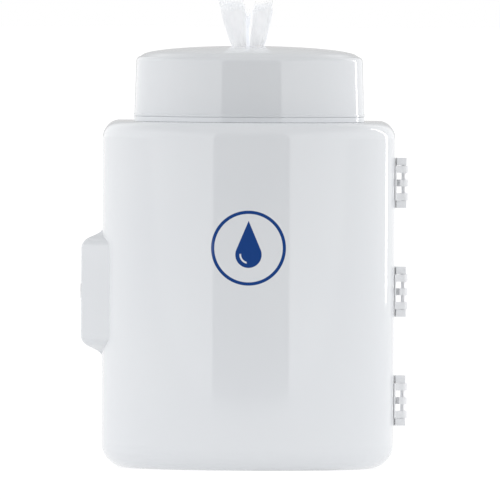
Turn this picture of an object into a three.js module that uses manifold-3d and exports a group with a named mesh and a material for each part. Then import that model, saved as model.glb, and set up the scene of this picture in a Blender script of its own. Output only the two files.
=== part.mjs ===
// Wall-mounted wipe dispenser: a case that is flat behind and half round in front, with a hinged
// and locked front cover, a lift-off domed cap and a pleated wipe drawn up from the centre of a roll.
// Millimetres. The wall face is the plane y = 0, the front faces -Y and +Z is up.
import * as THREE from 'three';
import { mergeVertices } from 'three/addons/utils/BufferGeometryUtils.js';
import Module from 'manifold-3d';

const wasm = await Module();
wasm.setup();

// Roll, which sets the size of the case round it
const rollRadius = 100;
const rollHeight = 200;
const rollBoreRadius = 17;
const rollEdge = 2;
const rollGrooves = 6;
const rollGrooveDepth = 0.7;
const rollSideRoom = 14.5;
const rollRearRoom = 10.5;

// Case
const wall = 2.5;
const caseRadius = rollRadius + rollSideRoom + wall;
const rearDepth = rollRadius + rollRearRoom + wall;
const caseHeight = 277;
const shoulderFillet = 13;
const bottomFillet = 20;
const rearCornerFillet = 5;
const seam = 0.8;
const touch = 0.3; // the gap left between pieces that touch
const cut = 5; // how far a cutting shape runs past what it cuts
const nick = 1; // the same, where 5 mm would reach another form

// Neck and cap
const capSetback = 25; // from the case's side in to the cap's foot
const capBaseRadius = caseRadius - capSetback;
const capDraft = 1.4;
const capTopRadius = capBaseRadius - capDraft;
const neckSetback = 14;
const neckHoleRadius = capBaseRadius - neckSetback;
const neckClearance = 0.6;
const neckWall = 2.4;
const neckDrop = 12;
const neckRise = 14;
const flangeThickness = 3.5; // seen as a white ring between the case and the cap
const flangeSetback = 0.6;
const capWallHeight = 46.1;
const capCornerFillet = 4;
const capCornerSweep = 78; // degrees of the corner's arc, up to where the dome begins
const capRise = 10.5;
const capLipHeight = 2;
const capLipWidth = 0.5;
const capFit = 0.6;
const nozzlePlugRadius = 17;
const nozzleFlangeWidth = 3;
const nozzleFlangeThickness = 2;
const nozzleHoleRadius = 13.5;
const nozzleSlits = 8;
const nozzleSlitWidth = 1;
const nozzleSlitDepth = 2.2;
const collarLength = 7;
const collarWall = 2.2;
const collarJoin = 0.2; // how far the collar runs into the dome
const nozzleRingHeight = 4;

// Tray
const trayThickness = 3;
const trayClearance = 3.5;
const trayRimGap = 1.5;
const trayRimWall = 2.5;
const trayRimHeight = 9;
const bracketWidth = 120;
const bracketHeight = 38;
const bracketThickness = 3;
const traySpread = 45;
const trayScrewHeight = 26;

// Wipe
const pleats = 8;
const pleatPoints = 6;
const pleatDepth = 0.16;
const strandRadius = 8.5;
const strandDip = 12;
const tuftHeight = 32;
const tuftHalfDepth = 8;
const tuftFootHalfDepth = 6;
// Each tuft's middle and half width, at its foot and at its head
const tufts = [
  { foot: -6.8, head: -12.5, footHalfWidth: 6, headHalfWidth: 9.6, height: tuftHeight },
  { foot: 5.6, head: 11.3, footHalfWidth: 5.8, headHalfWidth: 6.7, height: tuftHeight - 1 },
];

// Hinges
const hingeAxisOut = 7;
const hingeTopInset = 48.5; // from the case's top down to the upper hinge's middle
const hingeBottomInset = 54.4;
const hingeHeight = 40;
const pinRadius = 1.85;
const pinClearance = 0.3;
const knuckleRadius = 3.4;
const leafThickness = 1;
const leafWidth = 14;
const coverLeafWidth = 8;
const endBlock = 5.8;
const coverKnuckle = 5.8;
const centreKnuckle = 5.5;
const endBlockOut = 1.7;
const endBlockSetback = 1;

// Handle bulge, lock and bolt
const bulgeOut = 16.6;
const bulgeRootDepth = 37.5;
const bulgeSideDepth = 19;
const bulgeRise = 53; // above the lock, and the next three likewise from the lock
const bulgeDrop = 55.5;
const bulgeFlatRise = 34.8;
const bulgeFlatDrop = 35.5;
const bulgeFrontFillet = 3.5;
const bulgeBend = 0.58; // share of each end's height at which its S-curve's handles lie
const bulgeCurl = 0.03; // share of its width at which they lie
const bulgeLeast = 0.02; // the share that is left at its ends, so that they keep a face
const bulgeSteps = 10;
const keeperFlat = 20;
const keeperTaper = 14;
const lockHeight = 2.4; // above the case's mid height
const lockSetback = 8.4;
const lockRadius = 6;
const lockFaceOut = 0.4;
const keySlotWidth = 1.6;
const keySlotHeight = 8;
const keySlotDepth = 3;
const crankRadius = 3.9;
const crankPinRadius = 1.3;
const crankClearance = 0.5;
const crankAngle = 225; // degrees
const boltThickness = 5.5;
const boltHalfHeight = 8;
const boltLength = 16;
const boltRetract = 1.2;
const boltSetIn = 3; // from the bulge's inner face
const railThickness = 2;
const strikeThickness = 1.6;
const strikeRecess = 0.9;
const strikeScrewSpan = 40;
const bossRadius = 4;

// Screws and wall slots
const screwRadius = 1.4;
const screwHeadRadius = 2.9;
const screwHeadHeight = 1.8;
const screwLength = 8;
const neckScrewAngles = [30, 70, 110, 150];
const slotWidth = 6;
const slotLength = 14;
const slotSpread = 60;
const slotRows = [95, -60];

// Facets
const roundSteps = 88;
const nozzleSteps = 48;
const rollSteps = 56;
const cornerSteps = 6;

// Places worked out from the sizes
const axisY = -rearDepth;
const top = caseHeight / 2;
const bottom = -caseHeight / 2;
const flangeBottom = top + touch;
const flangeTop = flangeBottom + flangeThickness;
const capBase = flangeTop + touch;
const capWallTop = capBase + capWallHeight;
const capTop = capWallTop + capRise;
const neckOuter = neckHoleRadius - neckClearance;
const neckInner = neckOuter - neckWall;
const spigotOuter = capBaseRadius - wall - capFit;
const spigotInner = spigotOuter - neckWall;
const neckScrewRadius = (neckHoleRadius + spigotInner) / 2;
const trayBottom = bottom + wall + trayClearance;
const trayTop = trayBottom + trayThickness;
const rollBottom = trayTop + touch;
const rollTop = rollBottom + rollHeight;
const hingeX = caseRadius + hingeAxisOut;
const hingeUpper = top - hingeTopInset;
const hingeLower = bottom + hingeBottomInset;
const hingeCentres = [hingeUpper, (hingeUpper + hingeLower) / 2, hingeLower];
const bulgeLeft = -caseRadius - bulgeOut;
const bulgeTop = lockHeight + bulgeRise;
const bulgeBottom = lockHeight - bulgeDrop;
const bulgeFlatTop = lockHeight + bulgeFlatRise;
const bulgeFlatBottom = lockHeight - bulgeFlatDrop;
// The slanted front of the bulge runs in to where the case's round front is as deep
const bulgeRootX = -Math.sqrt(caseRadius ** 2 - bulgeRootDepth ** 2);
const lockY = axisY - lockSetback;
const boltLeft = bulgeLeft + wall + boltSetIn;
const boltRight = boltLeft + boltThickness;
const boltRear = axisY - boltRetract;

// Materials
const shellWhite = () => new THREE.MeshStandardMaterial({ color: 0xeef0f3, roughness: 0.25, metalness: 0 });
const innerWhite = () => new THREE.MeshStandardMaterial({ color: 0xe2e4e7, roughness: 0.5, metalness: 0 });
const hingeGrey = () => new THREE.MeshStandardMaterial({ color: 0xd6d8dc, roughness: 0.4, metalness: 0 });
const steel = () => new THREE.MeshStandardMaterial({ color: 0x8d9096, roughness: 0.35, metalness: 1 });
const nonwoven = () => new THREE.MeshStandardMaterial({ color: 0xf2f3f2, roughness: 0.95, metalness: 0 });

// Solids

function signedVolume(position, index) {
  const [a, b, c] = [new THREE.Vector3(), new THREE.Vector3(), new THREE.Vector3()];
  let sum = 0;
  for (let i = 0; i < index.length; i += 3) {
    a.fromArray(position, 3 * index[i]);
    b.fromArray(position, 3 * index[i + 1]);
    c.fromArray(position, 3 * index[i + 2]);
    sum += a.dot(b.cross(c));
  }
  return sum;
}

// Turns a closed three.js geometry into a manifold solid that faces outwards.
function solid(geometry) {
  geometry.deleteAttribute('normal');
  geometry.deleteAttribute('uv');
  const merged = mergeVertices(geometry, 1e-4);
  const position = merged.attributes.position.array;
  const index = [];
  for (let i = 0; i < merged.index.count; i += 3) {
    const [a, b, c] = [0, 1, 2].map((k) => merged.index.array[i + k]);
    if (a !== b && b !== c && c !== a) index.push(a, b, c);
  }
  if (signedVolume(position, index) < 0) index.reverse();
  return new wasm.Manifold(new wasm.Mesh({
    numProp: 3,
    vertProperties: new Float32Array(position),
    triVerts: new Uint32Array(index),
  }));
}

function box(x0, x1, y0, y1, z0, z1) {
  const geometry = new THREE.BoxGeometry(x1 - x0, y1 - y0, z1 - z0);
  return solid(geometry.translate((x0 + x1) / 2, (y0 + y1) / 2, (z0 + z1) / 2));
}

// A shape turned about the case's upright axis, from a closed list of [radius, z].
function turned(points, steps = roundSteps) {
  const geometry = new THREE.LatheGeometry(points.map(([r, z]) => new THREE.Vector2(r, z)), steps);
  return solid(geometry.rotateX(Math.PI / 2)).translate([0, axisY, 0]);
}

function ring(inner, outer, z0, z1, steps = roundSteps) {
  return turned([[inner, z0], [outer, z0], [outer, z1], [inner, z1], [inner, z0]], steps);
}

function disc(radius, z0, z1, steps = roundSteps) {
  return turned([[0, z0], [radius, z0], [radius, z1], [0, z1]], steps);
}

// A round rod from one point to another, with flat ends.
function rod(from, to, radius, steps = 24) {
  const [a, b] = [new THREE.Vector3(...from), new THREE.Vector3(...to)];
  const geometry = new THREE.CylinderGeometry(radius, radius, a.distanceTo(b), steps);
  const along = b.clone().sub(a).normalize();
  const turn = new THREE.Quaternion().setFromUnitVectors(new THREE.Vector3(0, 1, 0), along);
  return solid(geometry.applyQuaternion(turn).translate(...a.add(b).multiplyScalar(0.5)));
}

function outline(points) {
  return new THREE.Shape(points.map(([x, y]) => new THREE.Vector2(x, y)));
}

// An upright outline of [x, z] points, pushed along Y.
function slabY(points, y0, y1) {
  const geometry = new THREE.ExtrudeGeometry(outline(points), { depth: y1 - y0, bevelEnabled: false });
  return solid(geometry.rotateX(Math.PI / 2)).translate([0, y1, 0]);
}

// A plan outline of [x, y] points, pushed along Z.
function slabZ(points, z0, z1) {
  const geometry = new THREE.ExtrudeGeometry(outline(points), { depth: z1 - z0, bevelEnabled: false });
  return solid(geometry).translate([0, 0, z0]);
}

function arc(x, y, radius, from, to, steps = cornerSteps) {
  const points = [];
  for (let i = 0; i <= steps; i++) {
    const angle = THREE.MathUtils.degToRad(from + (to - from) * i / steps);
    points.push([x + radius * Math.cos(angle), y + radius * Math.sin(angle)]);
  }
  return points;
}

// A solid through closed rings of points, the first and last of them capped.
function loft(rings) {
  const count = rings[0].length;
  const middle = (points) => points.reduce((sum, p) => sum.add(p), new THREE.Vector3()).divideScalar(count);
  const points = [...rings.flat(), middle(rings[0]), middle(rings.at(-1))];
  const [first, last] = [points.length - 2, points.length - 1];
  const index = [];
  for (let j = 0; j < count; j++) {
    const next = (j + 1) % count;
    for (let i = 0; i < rings.length - 1; i++) {
      const [a, b, c, d] = [i * count + j, i * count + next, (i + 1) * count + next, (i + 1) * count + j];
      index.push(a, b, c, a, c, d);
    }
    const end = (rings.length - 1) * count;
    index.push(first, next, j, last, end + j, end + next);
  }
  const geometry = new THREE.BufferGeometry().setFromPoints(points);
  geometry.setIndex(index);
  return solid(geometry);
}

const group = new THREE.Group();

function add(name, shape, material) {
  const { vertProperties, triVerts } = shape.getMesh();
  const geometry = new THREE.BufferGeometry();
  geometry.setAttribute('position', new THREE.BufferAttribute(vertProperties, 3));
  geometry.setIndex(new THREE.BufferAttribute(triVerts, 1));
  geometry.computeVertexNormals();
  const mesh = new THREE.Mesh(geometry, material);
  mesh.name = name;
  group.add(mesh);
}

// Case shells

// Half of the case's upright section, as [x, z] from the bottom to the top.
function caseSection(inset) {
  const side = caseRadius - inset;
  const [low, high] = [bottomFillet - inset, shoulderFillet - inset];
  return [
    ...arc(side - low, bottom + inset + low, low, -90, 0),
    ...arc(side - high, top - inset - high, high, 0, 90),
  ];
}

function roundBody(inset) {
  return turned([[0, bottom + inset], ...caseSection(inset), [0, top - inset]]);
}

function squareBody(inset, y0, y1) {
  const right = caseSection(inset);
  const left = right.map(([x, z]) => [-x, z]).reverse();
  return slabY([...right, ...left], y0, y1);
}

function fullBody() {
  return roundBody(0).add(squareBody(0, axisY, 0));
}

function rearPlan() {
  return slabZ([
    [-caseRadius, axisY + seam / 2],
    [caseRadius, axisY + seam / 2],
    ...arc(caseRadius - rearCornerFillet, -rearCornerFillet, rearCornerFillet, 0, 90),
    ...arc(-caseRadius + rearCornerFillet, -rearCornerFillet, rearCornerFillet, 90, 180),
  ], bottom - cut, top + cut);
}

// How far the bulge stands out at each height, as [share, z] with an S-curve at each end.
function bulgeProfile(inset) {
  const curve = (z0, z1) => new THREE.CubicBezierCurve(
    new THREE.Vector2(0, z0), new THREE.Vector2(bulgeCurl, THREE.MathUtils.lerp(z0, z1, bulgeBend)),
    new THREE.Vector2(1 - bulgeCurl, THREE.MathUtils.lerp(z1, z0, bulgeBend)), new THREE.Vector2(1, z1),
  ).getPoints(bulgeSteps).map(({ x, y }) => [Math.max(x, bulgeLeast), y]);
  return [...curve(bulgeBottom + inset, bulgeFlatBottom), ...curve(bulgeTop - inset, bulgeFlatTop).reverse()];
}

// A bulge whose plan shrinks towards the case's edge as the profile falls away.
function swollen(plan, cornerY, inset) {
  const cornerX = -caseRadius + wall / 2;
  return loft(bulgeProfile(inset).map(([share, z]) => plan.map(([x, y]) => (
    new THREE.Vector3(cornerX + (x - cornerX) * share, cornerY + (y - cornerY) * share, z)))));
}

// The bulge's front slants back from its root on the case to its outer side.
function bulge(inset) {
  const outside = bulgeLeft + inset;
  const fillet = bulgeFrontFillet - inset;
  const rootY = axisY - bulgeRootDepth;
  const slope = (bulgeRootDepth - bulgeSideDepth) / (bulgeRootX - bulgeLeft);
  const slant = Math.atan(slope);
  const squareOn = 270 - THREE.MathUtils.radToDeg(slant);
  const line = (x) => rootY + slope * (bulgeRootX - x) + inset / Math.cos(slant);
  const cornerX = outside + fillet;
  const split = axisY - seam / 2 + (inset ? seam : 0);
  return swollen([
    [bulgeRootX + bulgeOut, split],
    [outside, split],
    ...arc(cornerX, line(cornerX) + fillet / Math.cos(slant), fillet, 180, squareOn),
    [bulgeRootX + bulgeOut, line(bulgeRootX + bulgeOut)],
  ], split, inset);
}

function keeperBulge(inset) {
  const outside = bulgeLeft + inset;
  const split = axisY + seam / 2 - (inset ? seam : 0);
  return swollen([
    [-caseRadius + wall, split],
    [-caseRadius + wall, axisY + keeperFlat + keeperTaper - inset],
    [-caseRadius, axisY + keeperFlat + keeperTaper - inset],
    [outside, axisY + keeperFlat],
    [outside, split],
  ], split, inset);
}

const neckHole = disc(neckHoleRadius, top - wall - cut, top + cut);
const lockZ = (top + bottom) / 2 + lockHeight;
const strikeScrews = [lockZ + strikeScrewSpan / 2, lockZ - strikeScrewSpan / 2];
const strikeX = (bulgeLeft - caseRadius) / 2;
const strikeFront = axisY + seam / 2 + strikeRecess;
const strikeRear = strikeFront + strikeThickness;
const wallInner = -wall;
const trayScrewPlaces = [-traySpread, traySpread];
const trayScrewZ = trayBottom + trayScrewHeight;

function rearHousing() {
  const inside = squareBody(wall, axisY - cut, wallInner);
  const keeper = keeperBulge(0).subtract(box(-caseRadius + wall, caseRadius, axisY - cut, 0, bottom, top));
  const holeRadius = screwRadius + touch;
  let keeperInside = keeperBulge(wall).subtract(fullBody());
  for (const z of strikeScrews) {
    keeperInside = keeperInside.subtract(rod([strikeX, strikeRear + touch, z], [strikeX, 0, z], bossRadius));
  }
  let housing = squareBody(0, axisY + seam / 2, 0).intersect(rearPlan()).add(keeper)
    .subtract(inside).subtract(keeperInside).subtract(neckHole);
  for (const z of strikeScrews) {
    const holeEnd = strikeRear + screwLength + nick;
    housing = housing.subtract(rod([strikeX, strikeFront, z], [strikeX, holeEnd, z], holeRadius));
  }
  for (const x of trayScrewPlaces) {
    housing = housing.subtract(rod([x, wallInner - cut, trayScrewZ], [x, cut, trayScrewZ], holeRadius));
  }
  for (const degrees of neckScrewAngles) {
    const [x, y] = neckScrewPlace(degrees);
    housing = housing.subtract(rod([x, y, top - cut], [x, y, top + cut], holeRadius));
  }
  for (const x of [-slotSpread, slotSpread]) {
    for (const z of slotRows) {
      housing = housing.subtract(slotCutter(x, z));
    }
  }
  return housing;
}

// A round-ended upright slot through the back wall.
function slotCutter(x, z) {
  const reach = (slotLength - slotWidth) / 2;
  const ends = [...arc(x, z + reach, slotWidth / 2, 0, 180), ...arc(x, z - reach, slotWidth / 2, 180, 360)];
  return slabY(ends, wallInner - cut, cut);
}

function frontCover() {
  const [reach, rear] = [2 * caseRadius, axisY - seam / 2];
  const front = box(-reach, reach, axisY - reach, rear, bottom - cut, top + cut);
  const bulgeInside = bulge(wall).subtract(roundBody(0));
  const lockHoleEnd = bulgeLeft + wall + nick;
  const lockHole = rod([bulgeLeft - cut, lockY, lockZ], [lockHoleEnd, lockY, lockZ], lockRadius + touch, 32);
  return roundBody(0).add(bulge(0)).intersect(front)
    .subtract(roundBody(wall)).subtract(bulgeInside).subtract(neckHole).subtract(lockHole);
}

add('rear_housing', rearHousing(), shellWhite());
add('front_cover', frontCover(), shellWhite());

// Neck ring, with its screws into the rear housing

function neckScrewPlace(degrees) {
  const angle = THREE.MathUtils.degToRad(degrees);
  return [neckScrewRadius * Math.cos(angle), axisY + neckScrewRadius * Math.sin(angle)];
}

function neckRing() {
  let shape = ring(neckInner, neckOuter, top - neckDrop, flangeTop)
    .add(ring(neckInner, capBaseRadius - flangeSetback, flangeBottom, flangeTop))
    .add(ring(spigotInner, spigotOuter, flangeBottom, capBase + neckRise));
  for (const degrees of neckScrewAngles) {
    const [x, y] = neckScrewPlace(degrees);
    shape = shape.subtract(rod([x, y, flangeBottom - nick], [x, y, flangeTop + nick], screwRadius + touch));
  }
  return shape;
}

// A screw whose head bears at a place, with its shaft running along a direction.
function screw(place, direction, length) {
  const along = (distance) => place.map((value, axis) => value + direction[axis] * distance);
  const driveTop = along(-touch - screwHeadHeight - nick);
  const drive = rod(driveTop, along(-touch - screwHeadHeight / 2), screwRadius, 6);
  return rod(along(-touch - screwHeadHeight), along(-touch), screwHeadRadius)
    .add(rod(along(-touch - screwHeadHeight / 4), along(length), screwRadius, 16))
    .subtract(drive);
}

add('neck_ring', neckRing(), innerWhite());
neckScrewAngles.forEach((degrees, i) => {
  const [x, y] = neckScrewPlace(degrees);
  add(`neck_screw_${i + 1}`, screw([x, y, flangeTop], [0, 0, -1], screwLength), steel());
});

// Cap

// The cap's outer or inner section, as [radius, z] from the base to the edge of the hole.
function capSection(inset, base, hole, domeSteps, filletSteps) {
  const wallRadius = capTopRadius - inset;
  const fillet = capCornerFillet - inset / 2;
  const domeRadius = wallRadius - fillet;
  const springing = capWallTop - inset - fillet / 2;
  const domeRise = capTop - inset - springing - fillet;
  const dome = [];
  for (let i = 1; i <= domeSteps; i++) {
    const radius = domeRadius + (hole - domeRadius) * i / domeSteps;
    dome.push([radius, springing + fillet + domeRise * Math.sqrt(1 - (radius / domeRadius) ** 2)]);
  }
  const corner = arc(domeRadius, springing, fillet, 0, capCornerSweep, filletSteps);
  return [[capBaseRadius - inset, base], ...corner, ...dome];
}

function topCap() {
  const outside = capSection(0, capBase, nozzlePlugRadius, 8, 4);
  const inside = capSection(wall, capBase, nozzlePlugRadius, 4, 2);
  const lip = ring(capBaseRadius - wall / 2, capBaseRadius + capLipWidth, capBase, capBase + capLipHeight);
  const collarInner = nozzlePlugRadius + nozzleFlangeWidth + touch;
  const collarTop = capTop - wall + collarJoin;
  const collar = ring(collarInner, collarInner + collarWall, capTop - wall - collarLength, collarTop);
  return turned([...outside, ...inside.reverse(), outside[0]]).add(lip).add(collar);
}

function nozzle() {
  const seat = capTop - wall - touch;
  const foot = seat - nozzleFlangeThickness;
  const flangeRadius = nozzlePlugRadius + nozzleFlangeWidth;
  let shape = ring(nozzleHoleRadius, nozzlePlugRadius - touch, foot, capTop - touch, nozzleSteps)
    .add(ring(nozzleHoleRadius, flangeRadius, foot - touch, seat - 2 * touch, nozzleSteps));
  for (let i = 0; i < nozzleSlits; i++) {
    const slit = box(0, nozzleHoleRadius + nozzleSlitDepth, -nozzleSlitWidth / 2, nozzleSlitWidth / 2,
      foot - cut, capTop + cut);
    shape = shape.subtract(slit.rotate([0, 0, (i + 0.5) * 360 / nozzleSlits]).translate([0, axisY, 0]));
  }
  return shape;
}

const nozzleRingTop = capTop - wall - nozzleFlangeThickness - 3 * touch;
const nozzleRing = ring(nozzleHoleRadius + 1, nozzlePlugRadius + nozzleFlangeWidth,
  nozzleRingTop - nozzleRingHeight, nozzleRingTop, nozzleSteps);

add('top_cap', topCap(), shellWhite());
add('nozzle', nozzle(), shellWhite());
add('nozzle_ring', nozzleRing, innerWhite());

// Wipe: a pleated strand that stands in the roll's bore and opens above the nozzle into two tufts

function pleatedRing(x, z, halfWidth, halfDepth, phase) {
  const count = pleats * pleatPoints;
  return Array.from({ length: count }, (_, i) => {
    const angle = 2 * Math.PI * i / count;
    const fold = 1 - pleatDepth + pleatDepth * Math.cos(pleats * angle + phase);
    const [across, deep] = [halfWidth * fold * Math.cos(angle), halfDepth * fold * Math.sin(angle)];
    return new THREE.Vector3(x + across, axisY + deep, z);
  });
}

function wipeTail() {
  const held = nozzleHoleRadius - touch;
  const strand = loft([
    pleatedRing(0, rollTop - strandDip, strandRadius, strandRadius, 0),
    pleatedRing(0, (rollTop + capTop) / 2, strandRadius, strandRadius, 0.4),
    pleatedRing(0, capTop - 3 * wall, held - 1, held - 2, 0),
    pleatedRing(0, capTop - wall, held, held, 0),
    pleatedRing(0, capTop + 1, held, held - 3, 0),
  ]);
  const { lerp } = THREE.MathUtils;
  const opened = tufts.map(({ foot, head, footHalfWidth, headHalfWidth, height }) => loft(
    [0, 0.3, 0.65, 1].map((share) => pleatedRing(lerp(foot, head, share), capTop - touch + height * share,
      lerp(footHalfWidth, headHalfWidth, share), lerp(tuftFootHalfDepth, tuftHalfDepth, share), 1.4 * share)),
  ));
  return strand.add(opened[0]).add(opened[1]);
}

add('wipe_tail', wipeTail(), nonwoven());

// Roll and tray

function rollTopFace() {
  const width = (rollRadius - rollBoreRadius - 2 * rollEdge) / (2 * rollGrooves);
  const points = [];
  for (let i = 0; i < rollGrooves; i++) {
    const r = rollRadius - rollEdge - (2 * i + 0.5) * width;
    points.push([r, rollTop], [r - width / 4, rollTop - rollGrooveDepth], [r - width / 2, rollTop]);
  }
  return points;
}

const rollSection = [
  [rollBoreRadius, rollBottom],
  ...arc(rollRadius - rollEdge, rollBottom + rollEdge, rollEdge, -90, 0, 3),
  ...arc(rollRadius - rollEdge, rollTop - rollEdge, rollEdge, 0, 90, 3),
  ...rollTopFace(),
  [rollBoreRadius, rollTop],
  [rollBoreRadius, rollBottom],
];

function rollTray() {
  const rimInner = rollRadius + trayRimGap;
  const flangeRear = wallInner - touch;
  let shape = disc(rimInner + trayRimWall, trayBottom, trayTop)
    .add(ring(rimInner, rimInner + trayRimWall, trayBottom, trayTop + trayRimHeight))
    .add(box(-bracketWidth / 2, bracketWidth / 2, axisY + rollRadius - cut, flangeRear, trayBottom, trayTop)
      .subtract(disc(rimInner, trayBottom - nick, trayTop + nick)))
    .add(box(-bracketWidth / 2, bracketWidth / 2, flangeRear - bracketThickness, flangeRear,
      trayBottom, trayBottom + bracketHeight));
  for (const x of trayScrewPlaces) {
    shape = shape.subtract(rod([x, flangeRear - cut, trayScrewZ], [x, 0, trayScrewZ], screwRadius + touch));
  }
  return shape;
}

add('wipes_roll', turned(rollSection, rollSteps), nonwoven());
add('roll_tray', rollTray(), innerWhite());
trayScrewPlaces.forEach((x, i) => {
  const head = wallInner - touch - bracketThickness;
  add(`tray_screw_${i + 1}`, screw([x, head, trayScrewZ], [0, 1, 0], -head - touch), steel());
});

// Hinges: a leaf on the housing with end blocks and a centre knuckle, a leaf on the cover with two
// knuckles, and a pin that shows bare between them

// A knuckle round the pin, with its web back to the leaf.
function knuckle(z0, z1, y0, y1) {
  return rod([hingeX, axisY, z0], [hingeX, axisY, z1], knuckleRadius)
    .add(box(caseRadius + touch, hingeX, y0, y1, z0, z1));
}

const pinHole = rod([hingeX, axisY, bottom], [hingeX, axisY, top], pinRadius + pinClearance);

function housingLeaf(z) {
  const half = hingeHeight / 2;
  const front = axisY + seam / 2 + touch;
  const rear = front + leafWidth;
  const blockFront = axisY - knuckleRadius + endBlockSetback;
  const blockRight = hingeX + endBlockOut + pinClearance;
  const leafLeft = caseRadius + touch;
  const end = (z0) => box(leafLeft, blockRight, front, rear, z0, z0 + endBlock)
    .add(box(leafLeft + seam, blockRight, blockFront, front + nick, z0, z0 + endBlock));
  return box(leafLeft, leafLeft + leafThickness, front, rear, z - half, z + half)
    .add(end(z - half))
    .add(end(z + half - endBlock))
    .add(knuckle(z - centreKnuckle / 2, z + centreKnuckle / 2, front, axisY + knuckleRadius))
    .subtract(pinHole);
}

function coverLeaf(z) {
  const half = hingeHeight / 2;
  const rear = axisY - seam / 2 - touch;
  const reach = half - endBlock - touch;
  const plate = ring(caseRadius + touch, caseRadius + touch + leafThickness, z - reach, z + reach)
    .intersect(box(0, 2 * caseRadius, rear - coverLeafWidth, rear, bottom, top));
  return plate
    .add(knuckle(z - reach, z - reach + coverKnuckle, axisY - knuckleRadius, rear))
    .add(knuckle(z + reach - coverKnuckle, z + reach, axisY - knuckleRadius, rear))
    .subtract(pinHole);
}

hingeCentres.forEach((z, i) => {
  add(`hinge_housing_leaf_${i + 1}`, housingLeaf(z), hingeGrey());
  add(`hinge_cover_leaf_${i + 1}`, coverLeaf(z), hingeGrey());
  const half = hingeHeight / 2;
  add(`hinge_pin_${i + 1}`, rod([hingeX, axisY, z - half], [hingeX, axisY, z + half], pinRadius), steel());
});

// Lock: a barrel whose crank pin drives the bolt through a slot, and the keeper for the bolt

function lockBarrel() {
  const inner = boltLeft - touch;
  const face = bulgeLeft - lockFaceOut;
  const angle = THREE.MathUtils.degToRad(crankAngle);
  const [pinY, pinZ] = [lockY + crankRadius * Math.cos(angle), lockZ + crankRadius * Math.sin(angle)];
  const key = box(face - nick, face + keySlotDepth, lockY - keySlotWidth / 2, lockY + keySlotWidth / 2,
    lockZ - keySlotHeight / 2, lockZ + keySlotHeight / 2);
  return rod([face, lockY, lockZ], [inner, lockY, lockZ], lockRadius, 32)
    .add(rod([inner - nick, pinY, pinZ], [boltRight - touch, pinY, pinZ], crankPinRadius, 16))
    .subtract(key);
}

function latchBolt() {
  const angle = THREE.MathUtils.degToRad(crankAngle);
  const pinY = lockY + crankRadius * Math.cos(angle);
  const slotHalf = crankPinRadius + crankClearance;
  const slotTop = lockZ + crankRadius * Math.sin(angle) + slotHalf;
  const slotBottom = lockZ - crankRadius - slotHalf;
  const [low, high] = [lockZ - boltHalfHeight, lockZ + boltHalfHeight];
  return box(boltLeft, boltRight, boltRear - boltLength, boltRear, low, high)
    .subtract(box(boltLeft - nick, boltRight + nick, pinY - slotHalf, pinY + slotHalf, slotBottom, slotTop));
}

function boltGuide() {
  const inner = lockZ + boltHalfHeight + touch;
  const [front, rear] = [boltRear - boltLength, boltRear];
  const right = -caseRadius - touch;
  const outer = boltHalfHeight + touch + railThickness;
  return box(boltLeft, right, front, rear, lockZ - outer, lockZ + outer)
    .subtract(box(boltLeft - nick, boltRight + touch, front - nick, rear + nick, 2 * lockZ - inner, inner));
}

function strikePlate() {
  const reach = strikeScrewSpan / 2 + bossRadius;
  const [left, right] = [bulgeLeft + wall + touch, -caseRadius - touch];
  const [before, behind] = [strikeFront - nick, strikeRear + nick];
  const room = 2 * touch;
  let plate = box(left, right, strikeFront, strikeRear, lockZ - reach, lockZ + reach)
    .subtract(box(boltLeft - room, boltRight + room, before, behind,
      lockZ - boltHalfHeight - room, lockZ + boltHalfHeight + room));
  for (const z of strikeScrews) {
    plate = plate.subtract(rod([strikeX, before, z], [strikeX, behind, z], screwRadius + touch));
  }
  return plate;
}

add('lock_barrel', lockBarrel(), steel());
add('latch_bolt', latchBolt(), steel());
add('bolt_guide', boltGuide(), innerWhite());
add('strike_plate', strikePlate(), steel());
strikeScrews.forEach((z, i) => {
  add(`strike_screw_${i + 1}`, screw([strikeX, strikeFront, z], [0, 1, 0], screwLength), steel());
});

export default group;
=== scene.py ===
"""Wall-mounted wipe dispenser: the looks of its pieces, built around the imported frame."""
import math
import random

import bmesh
import bpy
from mathutils import Matrix, Vector


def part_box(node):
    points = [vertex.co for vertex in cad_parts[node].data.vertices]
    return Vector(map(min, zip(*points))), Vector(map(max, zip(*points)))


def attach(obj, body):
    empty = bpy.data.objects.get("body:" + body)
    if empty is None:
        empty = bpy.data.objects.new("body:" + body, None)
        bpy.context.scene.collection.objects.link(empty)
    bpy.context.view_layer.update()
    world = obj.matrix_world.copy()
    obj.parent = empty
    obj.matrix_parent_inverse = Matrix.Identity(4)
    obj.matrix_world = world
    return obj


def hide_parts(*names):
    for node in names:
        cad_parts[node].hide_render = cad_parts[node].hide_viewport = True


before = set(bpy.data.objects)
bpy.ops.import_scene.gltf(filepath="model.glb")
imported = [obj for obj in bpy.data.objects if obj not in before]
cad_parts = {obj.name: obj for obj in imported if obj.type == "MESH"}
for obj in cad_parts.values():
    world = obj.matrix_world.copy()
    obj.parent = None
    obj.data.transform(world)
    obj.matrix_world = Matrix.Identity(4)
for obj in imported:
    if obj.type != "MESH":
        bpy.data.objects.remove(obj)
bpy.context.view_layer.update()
MM = 0.001

# Sizes read from the frame
COVER_LOW, COVER_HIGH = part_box("front_cover")
HOUSING_LOW, HOUSING_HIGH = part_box("rear_housing")
CAP_LOW, CAP_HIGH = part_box("top_cap")
NOZZLE_LOW, NOZZLE_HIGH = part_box("nozzle")
ROLL_LOW, ROLL_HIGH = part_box("wipes_roll")
TAIL_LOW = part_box("wipe_tail")[0]
CASE_RADIUS = HOUSING_HIGH.x
CASE_TOP = HOUSING_HIGH.z
CASE_BOTTOM = HOUSING_LOW.z
COVER_REAR = COVER_HIGH.y
HOUSING_FRONT = HOUSING_LOW.y
AXIS_Y = (COVER_REAR + HOUSING_FRONT) / 2
BULGE_LEFT = COVER_LOW.x
HINGE_NODES = (1, 2, 3)

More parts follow.
